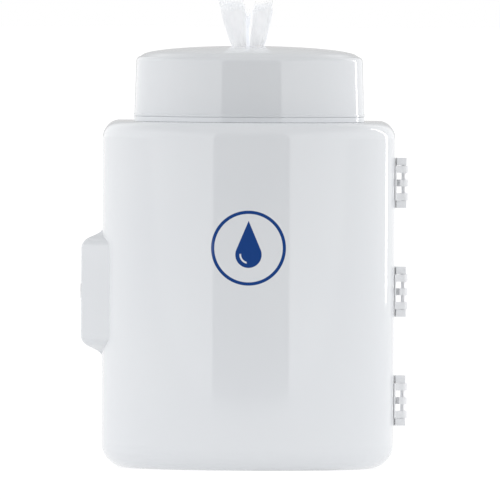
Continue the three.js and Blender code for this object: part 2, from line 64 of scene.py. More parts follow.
# Sizes of the shells' sections
WALL = 2.5 * MM
SHOULDER_FILLET = 13 * MM
BOTTOM_FILLET = 20 * MM
FILLET_STEPS = 14
NECK_HOLE_RADIUS = 78 * MM
ROUND_STEPS = 160

# Sizes that all pieces share
FIT = 0.3 * MM
PAST = 1 * MM  # how far a cutter reaches past what it cuts
EDGE_ROUND = 0.45 * MM
SMALL_ROUND = 0.3 * MM
MERGE_DISTANCE = 1e-7
BEVEL_DEGREES = 32
SMOOTH_DEGREES = 30

# The shells' plastic and its paler clouds, and the emblem printed on the cover
SHELL_COLOURS = (0.77, 0.79, 0.82), (0.785, 0.805, 0.83)
EMBLEM_BLUE = (0.016, 0.06, 0.24)
EMBLEM_Z = 39 * MM
RING_RADIUS, RING_HALF = 28.5 * MM, 1.3 * MM
DROP_RADIUS, DROP_TIP = 10.5 * MM, 27 * MM
CRESCENT_RADIUS, CRESCENT_HALF = 0.62 * DROP_RADIUS, 0.7 * MM
PRINT_EDGE = 0.12 * MM

# The colour of the painted glow that thin cloth gives off by itself, in place of light shining through it,
# and how far up a torn sheet begins to grow sparse
PAINTED_CLOTH_GLOW = (0.93, 0.95, 1.0, 1)
TEAR_START = 0.62


# Shader maths

class Value:
    """A socket that adds Math nodes when it is used in an expression."""

    def __init__(self, tree, socket):
        self.tree = tree
        self.socket = socket

    def math(self, operation, *others):
        return self.tree.add("ShaderNodeMath", {"operation": operation}, [self, *others])

    def __add__(self, other):
        return self.math("ADD", other)

    __radd__ = __add__

    def __mul__(self, other):
        return self.math("MULTIPLY", other)

    __rmul__ = __mul__

    def __sub__(self, other):
        return self.math("SUBTRACT", other)

    def __rsub__(self, other):
        return (self * -1) + other


class Tree:
    """Adds nodes to a material or world and links their sockets."""

    def __init__(self, owner):
        owner.use_nodes = True
        self.nodes = owner.node_tree.nodes
        self.links = owner.node_tree.links
        self.nodes.clear()

    def add(self, kind, settings=None, inputs=()):
        """A node of a type, with its settings, and values or links for its inputs by key or in order."""
        node = self.nodes.new(kind)
        for name, setting in (settings or {}).items():
            setattr(node, name, setting)
        pairs = inputs.items() if isinstance(inputs, dict) else enumerate(inputs)
        for key, source in pairs:
            if isinstance(source, Value):
                self.links.new(source.socket, node.inputs[key])
            else:
                node.inputs[key].default_value = source
        return Value(self, node.outputs[0]) if len(node.outputs) else None

    def place(self, output="Object"):
        return self.part(self.add("ShaderNodeTexCoord"), output)

    def part(self, value, output):
        """Another output of the node that gave a value."""
        return Value(self, value.socket.node.outputs[output])

    def noise(self, scale, detail=2, roughness=0.5, vector=None):
        return self.add("ShaderNodeTexNoise", None, {
            "Vector": vector or self.place(), "Scale": scale, "Detail": detail, "Roughness": roughness,
        })

    def level(self, value, low, high, out_low=0.0, out_high=1.0):
        """Goes evenly from one level to the other as a value goes from low to high."""
        return self.add("ShaderNodeMapRange", None, [value, low, high, out_low, out_high])

    def bump(self, height, strength, distance):
        return self.add("ShaderNodeBump", None, {
            "Height": height, "Strength": strength, "Distance": distance,
        })

    def mix(self, factor, first, second):
        """Mixes two colours, each a link or its red, green and blue."""
        first, second = (c if isinstance(c, Value) else (*c, 1) for c in (first, second))
        blend = self.add("ShaderNodeMix", {"data_type": "RGBA"}, {0: factor, 6: first, 7: second})
        return self.part(blend, 2)


def finish_surface(tree, **sockets):
    shader = tree.add("ShaderNodeBsdfPrincipled", None, {
        name.replace("_", " "): value for name, value in sockets.items()
    })
    tree.add("ShaderNodeOutputMaterial", None, {"Surface": shader})


def emblem_mask(tree):
    """1 on the print of the cover's front: a ring with a drop in it, and a small crescent in the drop."""
    across = tree.add("ShaderNodeSeparateXYZ", None, [tree.place()])
    up = tree.part(across, "Z") - EMBLEM_Z
    low = up + DROP_RADIUS / 2
    ink = PRINT_EDGE
    from_middle = (across * across + up * up).math("SQRT")
    from_belly = (across * across + low * low).math("SQRT")

    def stroke(distance, radius, half):
        """1 on a round line, from how far a point is from the line's centre."""
        return tree.level((distance - radius).math("ABSOLUTE"), half + ink, half - ink)

    ring = stroke(from_middle, RING_RADIUS, RING_HALF)
    belly = tree.level(from_belly, DROP_RADIUS + ink, DROP_RADIUS - ink)
    sine = DROP_RADIUS / DROP_TIP
    slope = sine / math.sqrt(1 - sine * sine)
    tip = (tree.level(across.math("ABSOLUTE") - (DROP_TIP - low) * slope, ink, -ink)
           * tree.level(low, DROP_RADIUS * sine - ink, DROP_RADIUS * sine))
    lower_left = tree.level(across, -MM, -2 * MM) * tree.level(low, MM, 0)
    crescent = stroke(from_belly, CRESCENT_RADIUS, CRESCENT_HALF) * lower_left
    ahead = AXIS_Y - tree.part(across, "Y")
    from_axis = (across * across + ahead * ahead).math("SQRT")
    outside = tree.level(from_axis, CASE_RADIUS - 0.6 * WALL, CASE_RADIUS - 0.4 * WALL)
    front = tree.level(ahead, 0, MM)
    return ring.math("MAXIMUM", belly.math("MAXIMUM", tip) * (1 - crescent)) * outside * front


def shell_plastic(name, tone=1.0, printed=False):
    """Glossy cool white moulding with a faint ripple and a few paler clouds.

    Tone is how pale it is, and a tone under 1 gives a copy with painted shade; the printed one has the
    emblem on its front.
    """
    material = bpy.data.materials.new(name)
    tree = Tree(material)
    cloud = tree.level(tree.noise(9, 3), 0.3, 0.7)
    plain, pale = ([part * tone for part in colour] for colour in SHELL_COLOURS)
    colour = tree.mix(cloud, plain, pale)
    if printed:
        colour = tree.mix(emblem_mask(tree), colour, EMBLEM_BLUE)
    ripple = tree.noise(38, 1) * 0.8 + tree.noise(420, 2) * 0.05
    fine = tree.level(tree.noise(260, 3), 0.3, 0.7, 0.035, 0.06)
    finish_surface(tree, Base_Color=colour, Roughness=fine, IOR=1.5, Normal=tree.bump(ripple, 0.03, 0.0004))
    return material


def inner_plastic():
    """Plain white moulding with a fine spark-eroded grain."""
    material = bpy.data.materials.new("inner_plastic")
    tree = Tree(material)
    grain = tree.noise(1800, 3)
    colour = tree.mix(tree.level(tree.noise(14, 2), 0.3, 0.7), (0.70, 0.71, 0.72), (0.74, 0.75, 0.76))
    rough = tree.level(grain, 0.3, 0.7, 0.42, 0.58)
    finish_surface(tree, Base_Color=colour, Roughness=rough, Normal=tree.bump(grain, 0.25, 0.0001))
    return material


def nozzle_plastic():
    """Soft flexible white plastic."""
    material = bpy.data.materials.new("nozzle_plastic")
    tree = Tree(material)
    grain = tree.noise(1200, 2)
    colour = tree.mix(tree.level(grain, 0.3, 0.7), (0.76, 0.77, 0.78), (0.79, 0.80, 0.81))
    finish_surface(tree, Base_Color=colour, Roughness=0.35, Subsurface_Weight=0.1,
                   Normal=tree.bump(grain, 0.15, 0.0001))
    return material


def hinge_plastic():
    """Satin white moulding, a little darker in its pores."""
    material = bpy.data.materials.new("hinge_plastic")
    tree = Tree(material)
    grain = tree.noise(1500, 3)
    colour = tree.mix(tree.level(grain, 0.35, 0.65), (0.88, 0.89, 0.91), (0.92, 0.93, 0.945))
    rough = tree.level(grain, 0.3, 0.7, 0.4, 0.55)
    finish_surface(tree, Base_Color=colour, Roughness=rough, Normal=tree.bump(grain, 0.2, 0.0001))
    return material


def brushed(name, base, light, stretch, coarse=0.33):
    """Drawn or turned metal, with streaks along the axes whose stretch is under 1."""
    material = bpy.data.materials.new(name)
    tree = Tree(material)
    stretched = tree.add("ShaderNodeMapping", None, {"Vector": tree.place(), "Scale": stretch})
    streak = tree.noise(900, 3, 0.6, stretched)
    colour = tree.mix(tree.level(streak, 0.3, 0.7), base, light)
    rough = tree.level(streak, 0.3, 0.7, coarse - 0.09, coarse + 0.09)
    finish_surface(tree, Base_Color=colour, Metallic=1.0, Roughness=rough,
                   Normal=tree.bump(streak, 0.2, 0.00008))
    return material


def wipe_cloth(name, cover=1.0, glow=0.0, torn=True):
    """Thin white nonwoven with fine upright fibres and small dimples.

    Cover is how closely it hides what is behind it, glow is painted light: the sheet's own emission, in
    place of the light that comes through a thin sheet, and torn cloth grows sparse towards the top of its
    own UV map.
    """
    material = bpy.data.materials.new(name)
    tree = Tree(material)
    long_way = tree.add("ShaderNodeMapping", None, {"Vector": tree.place(), "Scale": (1.0, 1.0, 0.18)})
    fibre = tree.noise(2600, 4, 0.65, long_way)
    clump = tree.noise(160, 3)
    dimple = tree.add("ShaderNodeTexVoronoi", {"feature": "SMOOTH_F1"}, {
        "Vector": tree.place(), "Scale": 620.0,
    })
    height = fibre * 0.5 + clump * 0.7 + dimple * 0.5
    colour = tree.mix(tree.level(clump + fibre * 0.4, 0.5, 0.9), (0.88, 0.89, 0.905), (0.94, 0.945, 0.95))
    alpha = 1.0
    if torn:
        up = tree.part(tree.add("ShaderNodeSeparateXYZ", None, [tree.place("UV")]), "Y")
        tear = tree.level(up, TEAR_START, 1.0)
        alpha = tree.level(tear * 1.3 - fibre * 0.95 - clump * 0.15, -0.3, 0.3, cover, 0.0)
    # The emission is painted light: the cloth glows by itself, standing in for light shining through it.
    finish_surface(tree, Base_Color=colour, Roughness=0.9, Normal=tree.bump(height, 0.3, 0.0002),
                   Alpha=alpha, Emission_Color=PAINTED_CLOTH_GLOW, Emission_Strength=glow)
    return material


SHELL = shell_plastic("shell_plastic")
# The cap's copy is the same plastic made a little darker: painted shade.
SHADED_CAP_SHELL = shell_plastic("shell_plastic_cap_painted_shade", 0.95)
PRINTED = shell_plastic("shell_plastic_printed", printed=True)
INNER = inner_plastic()
NOZZLE = nozzle_plastic()
HINGE = hinge_plastic()
PIN = brushed("pin_metal", (0.82, 0.825, 0.84), (0.88, 0.885, 0.90), (1, 1, 0.05), 0.5)
LOCK = brushed("lock_metal", (0.50, 0.51, 0.53), (0.62, 0.63, 0.65), (0.1, 1, 1))
STEEL = brushed("screw_steel", (0.45, 0.46, 0.48), (0.58, 0.59, 0.61), (1, 1, 1))
# The cloths' glow is painted light, stronger on the thin cloth of the fold so that it looks lit through.
CLOTH = wipe_cloth("wipe_cloth", glow=0.15)
THIN_CLOTH = wipe_cloth("wipe_cloth_thin", cover=0.85, glow=0.24)
ROLL_CLOTH = wipe_cloth("wipe_cloth_roll", torn=False)


# Meshes

def arc(x, y, radius, start, end, steps):
    """Points on an arc, with its angles in degrees."""
    points = []
    for i in range(steps + 1):
        angle = math.radians(start + (end - start) * i / steps)
        points.append((x + radius * math.cos(angle), y + radius * math.sin(angle)))
    return points


def mesh_piece(name, points, faces, material):
    mesh = bpy.data.meshes.new(name)
    mesh.from_pydata([tuple(p) for p in points], [], faces)
    piece = bpy.data.objects.new(name, mesh)
    bpy.context.scene.collection.objects.link(piece)
    clean = bmesh.new()
    clean.from_mesh(mesh)
    bmesh.ops.remove_doubles(clean, verts=clean.verts, dist=MERGE_DISTANCE)
    bmesh.ops.dissolve_degenerate(clean, edges=clean.edges, dist=MERGE_DISTANCE)
    bmesh.ops.recalc_face_normals(clean, faces=clean.faces)
    clean.to_mesh(mesh)
    clean.free()
    mesh.materials.append(material)
    return piece


def bake(piece):
    """Replaces the piece's mesh by what its modifiers make of it."""
    evaluated = piece.evaluated_get(bpy.context.evaluated_depsgraph_get())
    mesh = bpy.data.meshes.new_from_object(evaluated)
    piece.modifiers.clear()
    old = piece.data
    piece.data = mesh
    mesh.name = piece.name
    bpy.data.meshes.remove(old)
    return piece


def combine(piece, other, operation):
    """Joins another piece to a piece, or cuts it with the other, which is used up."""
    modifier = piece.modifiers.new("combine", "BOOLEAN")
    modifier.operation = operation
    modifier.solver = "EXACT"
    modifier.object = other
    bake(piece)
    bpy.data.objects.remove(other)
    return piece


def soften(piece, width=EDGE_ROUND):
    """Rounds the hard edges a little and shades the rest smooth."""
    bevel = piece.modifiers.new("edges", "BEVEL")
    bevel.width = width
    bevel.segments = 2
    bevel.limit_method = "ANGLE"
    bevel.angle_limit = math.radians(BEVEL_DEGREES)
    bevel.use_clamp_overlap = True
    bake(piece)
    return shade(piece)


def shade(piece):
    piece.data.shade_smooth()
    piece.data.set_sharp_from_angle(angle=math.radians(SMOOTH_DEGREES))
    weight = piece.modifiers.new("normals", "WEIGHTED_NORMAL")
    weight.keep_sharp = True
    return bake(piece)


def loft(name, rings, material):
    """A solid through rings of points, the first and last of them capped."""
    count = len(rings[0])
    points = [p for ring in rings for p in ring]
    faces = [tuple(range(count)), tuple(range(len(points) - 1, len(points) - 1 - count, -1))]
    for r in range(len(rings) - 1):
        for i in range(count):
            j = (i + 1) % count
            faces.append((r * count + i, r * count + j, (r + 1) * count + j, (r + 1) * count + i))
    return mesh_piece(name, points, faces, material)


def prism(name, outline, low, high, material, axis="z"):
    """An outline pushed along Z, or an [x, z] outline pushed along Y."""
    place = (lambda p, h: (p[0], p[1], h)) if axis == "z" else (lambda p, h: (p[0], h, p[1]))
    return loft(name, [[place(p, h) for p in outline] for h in (low, high)], material)


def circle(radius, steps):
    angles = [2 * math.pi * i / steps for i in range(steps)]
    return [(radius * math.cos(angle), radius * math.sin(angle)) for angle in angles]


def round_bar(name, start, end, radius, material, steps=48):
    """A round bar between two points."""
    start, end = Vector(start), Vector(end)
    turn = (end - start).to_track_quat("Z", "Y")
    rim = [turn @ Vector((x, y, 0)) for x, y in circle(radius, steps)]
    return loft(name, [[centre + p for p in rim] for centre in (start, end)], material)


def upright_bar(name, x, low, high, radius, material, steps=48):
    """An upright round bar, in the plane that holds the case's axis and the hinges' pins."""
    return round_bar(name, (x, AXIS_Y, low), (x, AXIS_Y, high), radius, material, steps)


def block(name, low, high, material):
    outline = [(low[0], low[1]), (high[0], low[1]), (high[0], high[1]), (low[0], high[1])]
    return prism(name, outline, low[2], high[2], material)


def lathe(name, section, material, steps=2 * ROUND_STEPS):
    """A closed section of (radius, z) turned about the case's upright axis."""
    points = []
    for i in range(steps):
        angle = 2 * math.pi * i / steps
        for radius, z in section:
            points.append((radius * math.cos(angle), AXIS_Y + radius * math.sin(angle), z))
    count = len(section)
    faces = []
    for i in range(steps):
        j = (i + 1) % steps
        for k in range(count):
            n = (k + 1) % count
            faces.append((i * count + k, j * count + k, j * count + n, i * count + n))
    return mesh_piece(name, points, faces, material)


# Case shells

def case_path(inset):
    """From the neck's edge over the shoulder, down the side and in to the bottom's middle."""
    side = CASE_RADIUS - inset
    high, low = SHOULDER_FILLET - inset, BOTTOM_FILLET - inset
    return [
        (NECK_HOLE_RADIUS, CASE_TOP - inset),
        *arc(side - high, CASE_TOP - inset - high, high, 90, 0, FILLET_STEPS),
        *arc(side - low, CASE_BOTTOM + inset + low, low, 0, -90, FILLET_STEPS),
        (0.0, CASE_BOTTOM + inset),
    ]


def front_shell():
    """The half-round front: its outer and inner skins, joined along every edge."""
    outer, inner = case_path(0), case_path(WALL)
    loop = outer + inner[::-1]
    count, half = len(loop), len(outer)
    points = []
    for i in range(ROUND_STEPS + 1):
        angle = math.pi + math.pi * i / ROUND_STEPS
        for radius, z in loop:
            y = min(AXIS_Y + radius * math.sin(angle), COVER_REAR)
            points.append((radius * math.cos(angle), y, z))
    faces = []
    for i in range(ROUND_STEPS):
        for k in range(count):
            n = (k + 1) % count
            faces.append((i * count + k, (i + 1) * count + k, (i + 1) * count + n, i * count + n))
    for start in (0, ROUND_STEPS * count):
        for k in range(half - 1):
            faces.append((start + k, start + k + 1, start + count - 2 - k, start + count - 1 - k))
    return mesh_piece("front_cover_shell", points, faces, SHELL)


# Lock bulge on the front cover, and the keeper bulge behind it on the housing
BULGE_ROOT_DEPTH = 37.5 * MM
BULGE_SIDE_DEPTH = 19 * MM
BULGE_LAP = 16.6 * MM  # how far its solid reaches into the case
BULGE_FRONT_FILLET = 3.5 * MM
KEEPER_FLAT, KEEPER_TAPER = 20 * MM, 14 * MM
LOCK_LOW, LOCK_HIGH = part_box("lock_barrel")
LOCK_RADIUS = (LOCK_HIGH.y - LOCK_LOW.y) / 2
LOCK_Y, LOCK_Z = (LOCK_HIGH.y + LOCK_LOW.y) / 2, (LOCK_HIGH.z + LOCK_LOW.z) / 2
BULGE_TOP, BULGE_BOTTOM = LOCK_Z + 53 * MM, LOCK_Z - 55.5 * MM
BULGE_FLAT_TOP, BULGE_FLAT_BOTTOM = LOCK_Z + 34.8 * MM, LOCK_Z - 35.5 * MM
BULGE_BEND, BULGE_CURL, BULGE_LEAST = 0.58, 0.03, 0.02
BULGE_STEPS = 26


def mixed(first, second, share):
    return first + (second - first) * share


def s_curve(low, high):
    """How far a bulge stands out, as (share, z), from where it begins to where it is flat."""
    corners = ((0.0, low), (BULGE_CURL, mixed(low, high, BULGE_BEND)),
               (1 - BULGE_CURL, mixed(high, low, BULGE_BEND)), (1.0, high))
    points = []
    for i in range(BULGE_STEPS + 1):
        t = i / BULGE_STEPS
        weights = ((1 - t) ** 3, 3 * t * (1 - t) ** 2, 3 * t * t * (1 - t), t ** 3)
        share, z = (sum(w * c[k] for w, c in zip(weights, corners)) for k in (0, 1))
        points.append((max(share, BULGE_LEAST), z))
    return points


def swollen(name, plan, corner_y, inset):
    """A plan that shrinks towards the case's edge as the bulge falls away above and below."""
    corner_x = -CASE_RADIUS + WALL / 2
    rising = s_curve(BULGE_BOTTOM + inset, BULGE_FLAT_BOTTOM)
    falling = s_curve(BULGE_TOP - inset, BULGE_FLAT_TOP)[::-1]
    rings = [
        [(mixed(corner_x, x, share), mixed(corner_y, y, share), z) for x, y in plan]
        for share, z in rising + falling
    ]
    return loft(name, rings, SHELL)


def front_bulge(name, inset):
    """The bulge on the cover, whose front slants from the round case to the bulge's side."""
    outside = BULGE_LEFT + inset
    root_x = -math.sqrt(CASE_RADIUS ** 2 - BULGE_ROOT_DEPTH ** 2)
    slope = (BULGE_ROOT_DEPTH - BULGE_SIDE_DEPTH) / (root_x - BULGE_LEFT)
    slant = math.atan(slope)
    inner_x = root_x + BULGE_LAP

    def line(x):
        return AXIS_Y - BULGE_ROOT_DEPTH + slope * (root_x - x) + inset / math.cos(slant)

    fillet = BULGE_FRONT_FILLET - inset
    corner_x = outside + fillet
    corner_y = line(corner_x) + fillet / math.cos(slant)
    split = COVER_REAR + (PAST if inset else 0)
    plan = [
        (inner_x, split), (outside, split),
        *arc(corner_x, corner_y, fillet, 180, 270 - math.degrees(slant), 10),
        (inner_x, line(inner_x)),
    ]
    return swollen(name, plan, split, inset)


def solid_round(name, inset):
    """The case's round body as one solid, for cutting."""
    return lathe(name, [(0.0, CASE_TOP - inset)] + case_path(inset)[1:], SHELL, steps=ROUND_STEPS)


def front_cover():
    """The front shell with its hollow bulge and the hole for the lock."""
    shell = front_shell()
    outside = combine(front_bulge("bulge_outside", 0), solid_round("inside", WALL / 2), "DIFFERENCE")
    hollow = combine(front_bulge("bulge_hollow", WALL), solid_round("case", 0), "DIFFERENCE")
    combine(shell, outside, "UNION")
    combine(shell, hollow, "DIFFERENCE")
    hole = round_bar("lock_hole", (BULGE_LEFT - 5 * PAST, LOCK_Y, LOCK_Z),
                     (BULGE_LEFT + WALL + PAST, LOCK_Y, LOCK_Z), LOCK_RADIUS + FIT, SHELL)
    combine(shell, hole, "DIFFERENCE")
    return soften(shell)


REAR_CORNER = 5 * MM
BOSS_RADIUS, BOSS_HOLE_RADIUS = 4 * MM, 1.7 * MM
WALL_SLOT_X = 60 * MM
WALL_SLOT_HEIGHTS = 95 * MM, -60 * MM
WALL_SLOT_RADIUS, WALL_SLOT_REACH = 3 * MM, 4 * MM


def case_outline(inset):
    """The case as seen from the front, as [x, z] points."""
    right = case_path(inset)[1:-1]
    return right + [(-x, z) for x, z in right[::-1]]


def keeper_bulge(name, inset):
    """The bulge on the housing, flat beside the keeper and tapered behind it."""
    outside = BULGE_LEFT + inset
    split = HOUSING_FRONT - (PAST if inset else 0)
    rear = AXIS_Y + KEEPER_FLAT + KEEPER_TAPER - inset
    plan = [(-CASE_RADIUS + WALL / 2, split), (-CASE_RADIUS + WALL / 2, rear), (-CASE_RADIUS, rear),
            (outside, AXIS_Y + KEEPER_FLAT), (outside, split)]
    return swollen(name, plan, split, inset)


def add_boss(shell, screw):
    """Adds the boss that a strike screw goes into, and its hole."""
    low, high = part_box(screw)
    x, z = (low.x + high.x) / 2, (low.z + high.z) / 2
    plate_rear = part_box("strike_plate")[1].y
    boss = round_bar("boss", (x, plate_rear + FIT, z), (x, AXIS_Y + KEEPER_FLAT, z), BOSS_RADIUS, SHELL)
    combine(shell, boss, "UNION")
    hole = round_bar("boss_hole", (x, HOUSING_FRONT, z), (x, high.y + PAST, z), BOSS_HOLE_RADIUS, SHELL)
    combine(shell, hole, "DIFFERENCE")


def cut_wall_slot(shell, x, z):
    """Cuts a slot with round ends through the back wall."""
    top = arc(x, z + WALL_SLOT_REACH, WALL_SLOT_RADIUS, 0, 180, 12)
    foot = arc(x, z - WALL_SLOT_REACH, WALL_SLOT_RADIUS, 180, 360, 12)
    combine(shell, prism("slot", top + foot, -2 * WALL, PAST, SHELL, axis="y"), "DIFFERENCE")


def rear_housing():
    """The square rear of the case, with its open front, keeper bulge and wall slots."""
    corner = REAR_CORNER
    side = CASE_RADIUS + PAST
    shell = prism("rear_housing_shell", case_outline(0), HOUSING_FRONT, 0.0, SHELL, axis="y")
    plan = [
        (-side, HOUSING_FRONT - PAST), (side, HOUSING_FRONT - PAST),
        (side, -corner), (CASE_RADIUS, -corner),
        *arc(CASE_RADIUS - corner, -corner, corner, 0, 90, 10)[1:],
        *arc(-CASE_RADIUS + corner, -corner, corner, 90, 180, 10),
        (-side, -corner),
    ]
    combine(shell, prism("plan", plan, CASE_BOTTOM - PAST, CASE_TOP + PAST, SHELL), "INTERSECT")
    combine(shell, keeper_bulge("keeper", 0), "UNION")
    inside = prism("inside", case_outline(WALL), HOUSING_FRONT - PAST, -WALL, SHELL, axis="y")
    combine(shell, inside, "DIFFERENCE")
    outer_side = block("outer_side", (-2 * CASE_RADIUS, HOUSING_FRONT - 5 * PAST, CASE_BOTTOM),
                       (-CASE_RADIUS, 0.0, CASE_TOP), SHELL)
    combine(shell, combine(keeper_bulge("hollow", WALL), outer_side, "INTERSECT"), "DIFFERENCE")
    neck = upright_bar("neck", 0, CASE_TOP - 8 * PAST, CASE_TOP + 8 * PAST, NECK_HOLE_RADIUS, SHELL, 240)
    combine(shell, neck, "DIFFERENCE")
    for screw in ("strike_screw_1", "strike_screw_2"):
        add_boss(shell, screw)
    for x in (-WALL_SLOT_X, WALL_SLOT_X):
        for z in WALL_SLOT_HEIGHTS:
            cut_wall_slot(shell, x, z)
    return soften(shell)


# Cap, neck and nozzle

CAP_LIP_WIDTH, CAP_LIP_HEIGHT = 0.5 * MM, 2 * MM
CAP_BASE_RADIUS = CAP_HIGH.x - CAP_LIP_WIDTH
CAP_DRAFT = 1.4 * MM
CAP_CORNER = 4 * MM
CAP_RISE = 10.5 * MM
NOZZLE_PLUG_RADIUS = 17 * MM
NOZZLE_HOLE_RADIUS = 13.5 * MM
NOZZLE_FLANGE = 2 * MM
NOZZLE_SLITS = 8
SLIT_HALF, SLIT_DEPTH = 0.5 * MM, 2.2 * MM
COLLAR_INNER = NOZZLE_PLUG_RADIUS + 3 * MM + FIT
COLLAR_WALL, COLLAR_DEPTH = 2.2 * MM, 7 * MM
NECK_WALL, NECK_PLAY = 2.4 * MM, 0.6 * MM
NECK_FLANGE_STEP = 0.2 * MM
JOINT_UNDER, JOINT_OVER = 0.05 * MM, 0.08 * MM  # the joints below and above the neck ring's flange


def cap_skin(inset, base, steps):
    """From the foot of the cap's wall up, round the corner and over the dome to the nozzle's hole."""
    wall_radius = CAP_BASE_RADIUS - CAP_DRAFT - inset
    fillet = CAP_CORNER - inset / 2
    dome_radius = wall_radius - fillet
    springing = CAP_HIGH.z - CAP_RISE - inset - fillet / 2
    dome_rise = CAP_HIGH.z - inset - springing - fillet
    dome = []
    for i in range(1, steps + 1):
        radius = mixed(dome_radius, NOZZLE_PLUG_RADIUS, i / steps)
        dome.append((radius, springing + fillet + dome_rise * math.sqrt(1 - (radius / dome_radius) ** 2)))
    return [(CAP_BASE_RADIUS - inset, base), *arc(dome_radius, springing, fillet, 0, 78, 8), *dome]


def top_cap():
    """The domed cap with a lip at its foot and the nozzle's collar under its top."""
    foot = CAP_LOW.z
    lip = CAP_BASE_RADIUS + CAP_LIP_WIDTH
    round_over = 0.35 * MM
    outside = cap_skin(0, foot + CAP_LIP_HEIGHT, 30)
    lip_edge = [
        (lip - round_over, foot), *arc(lip - round_over, foot + round_over, round_over, -90, 0, 3)[1:],
        *arc(lip - round_over, foot + CAP_LIP_HEIGHT - round_over, round_over, 0, 90, 3),
    ]
    inside = cap_skin(WALL, foot, 14)[::-1]
    # The cap wears the darker copy of the shell plastic, whose darkness is painted shade.
    shell = lathe("top_cap_shell", [*lip_edge, *outside, *inside], SHADED_CAP_SHELL)
    low, high = CAP_HIGH.z - WALL - COLLAR_DEPTH, CAP_HIGH.z - WALL / 2
    outer = COLLAR_INNER + COLLAR_WALL
    collar = lathe("collar", [
        (COLLAR_INNER, low), (outer, low), (outer, high), (COLLAR_INNER, high),
    ], SHADED_CAP_SHELL, steps=96)
    combine(shell, collar, "UNION")
    return soften(shell, SMALL_ROUND)


def neck_ring():
    """The ring that carries the cap, with its sleeve in the case's neck and a spigot inside the cap."""
    low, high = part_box("neck_ring")
    flange_low, flange_high = CASE_TOP + JOINT_UNDER, CAP_LOW.z - JOINT_OVER
    flange, spigot = CAP_BASE_RADIUS + NECK_FLANGE_STEP, CAP_BASE_RADIUS - WALL - NECK_PLAY
    sleeve = NECK_HOLE_RADIUS - NECK_PLAY
    sleeve_inner, spigot_inner = sleeve - NECK_WALL, spigot - NECK_WALL
    chamfer = 0.8 * MM
    ring = lathe("neck_ring_body", [
        (sleeve_inner, low.z), (sleeve, low.z), (sleeve, flange_low), (flange, flange_low),
        (flange, flange_high), (spigot, flange_high), (spigot, high.z - chamfer), (spigot - chamfer, high.z),
        (spigot_inner, high.z), (spigot_inner, flange_high), (sleeve_inner, flange_high),
    ], SHELL)
    return soften(ring, width=0.25 * MM)


def nozzle():
    """The soft insert, with slits between its fingers."""
    low, high = NOZZLE_LOW.z, NOZZLE_HIGH.z
    hole, plug, flange = NOZZLE_HOLE_RADIUS, NOZZLE_PLUG_RADIUS - FIT, NOZZLE_HIGH.x
    shelf = low + NOZZLE_FLANGE - FIT
    chamfer = 0.8 * MM
    body = lathe("nozzle_insert", [
        (hole, low), (flange, low), (flange, shelf), (plug, shelf), (plug, high),
        (hole + chamfer, high), (hole, high - chamfer),
    ], NOZZLE, steps=128)
    for i in range(NOZZLE_SLITS):
        angle = (i + 0.5) * 2 * math.pi / NOZZLE_SLITS
        cutter = block("slit", (0, -SLIT_HALF, low - PAST),
                       (hole + SLIT_DEPTH, SLIT_HALF, high + PAST), NOZZLE)
        cutter.data.transform(Matrix.Translation((0, AXIS_Y, 0)) @ Matrix.Rotation(angle, 4, "Z"))
        combine(body, cutter, "DIFFERENCE")
    return soften(body, width=0.2 * MM)


# Repeats by geometry nodes

STEPS_PER_TURN, THREAD_SIDES = 120, 6


def modifier_tree(name, inputs):
    """A geometry node tree with named inputs."""
    tree = bpy.data.node_groups.new(name, "GeometryNodeTree")
    tree.interface.new_socket("Geometry", in_out="INPUT", socket_type="NodeSocketGeometry")
    for label, kind in inputs:
        tree.interface.new_socket(label, in_out="INPUT", socket_type=kind)
    tree.interface.new_socket("Geometry", in_out="OUTPUT", socket_type="NodeSocketGeometry")
    return tree


def geometry_node(tree, kind, sockets=None):
    node = tree.nodes.new(kind)
    for key, source in (sockets or {}).items():
        if isinstance(source, bpy.types.NodeSocket):
            tree.links.new(source, node.inputs[key])
        else:
            node.inputs[key].default_value = source
    return node


def end_tree(tree, start, made):
    """Makes the instances real, gives them the material of the Finish input, and hands them out."""
    real = geometry_node(tree, "GeometryNodeRealizeInstances", {"Geometry": made.outputs[0]})
    done = geometry_node(tree, "GeometryNodeSetMaterial",
                         {"Geometry": real.outputs[0], "Material": start.outputs["Finish"]})
    geometry_node(tree, "NodeGroupOutput", {"Geometry": done.outputs[0]})
    return tree


def run_tree(piece, tree, **values):
    """Gives a piece the tree as a modifier with these inputs, and turns the result into its mesh."""
    modifier = piece.modifiers.new(tree.name, "NODES")
    modifier.node_group = tree
    for item in tree.interface.items_tree:
        if item.in_out == "INPUT" and item.name.lower() in values:
            modifier[item.identifier] = values[item.name.lower()]
    return bake(piece)


def row_tree():
    """Copies the piece along a straight row."""
    tree = modifier_tree("row", [("Count", "NodeSocketInt"), ("Step", "NodeSocketVector"),
                                 ("Finish", "NodeSocketMaterial")])
    start = geometry_node(tree, "NodeGroupInput")
    row = geometry_node(tree, "GeometryNodeMeshLine",
                        {"Count": start.outputs["Count"], "Offset": start.outputs["Step"]})
    copies = geometry_node(tree, "GeometryNodeInstanceOnPoints",
                           {"Points": row.outputs[0], "Instance": start.outputs["Geometry"]})
    return end_tree(tree, start, copies)


